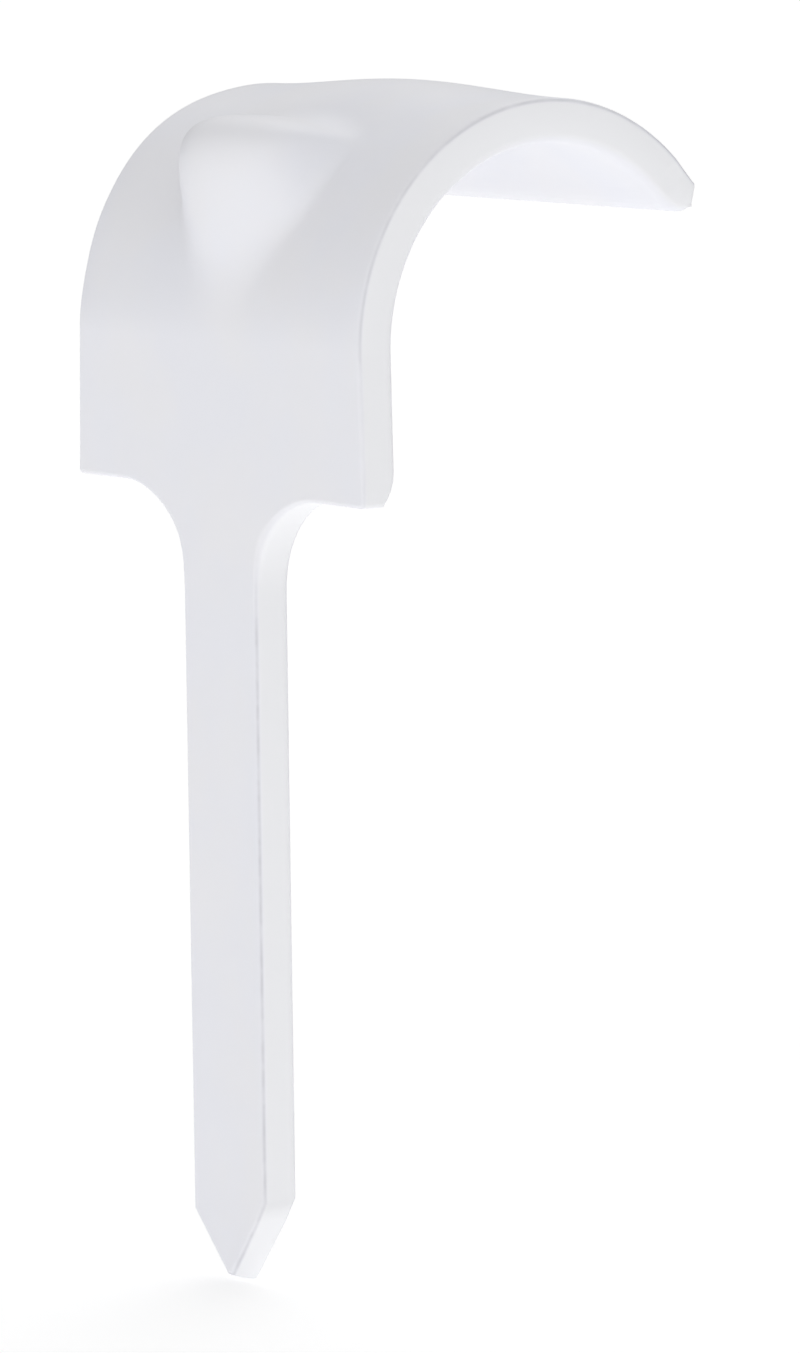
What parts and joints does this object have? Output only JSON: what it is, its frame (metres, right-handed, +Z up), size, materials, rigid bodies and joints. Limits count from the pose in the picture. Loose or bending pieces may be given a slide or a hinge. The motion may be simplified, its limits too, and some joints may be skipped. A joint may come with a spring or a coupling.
{
  "type": "conduit clip",
  "caption": "White coated steel strap that hooks over a conduit and is driven into a wall by its flat pointed shank, with a stiffening boss pressed into the bend.",
  "frame": {"origin": "on the axis of the conduit that the hook holds, at the middle of the strap's width", "axes": "+X along the conduit, +Z up and away from the shank's point, the plate on the -Y side and the hook's lip on the +Y side"},
  "size_m": [0.0218, 0.0202, 0.0553],
  "materials": {
    "white_coating": "smooth satin white coating over sheared sheet steel"
  },
  "bodies": {
    "root": {"conduit_clip": "white_coating"}
  },
  "joints": []
}
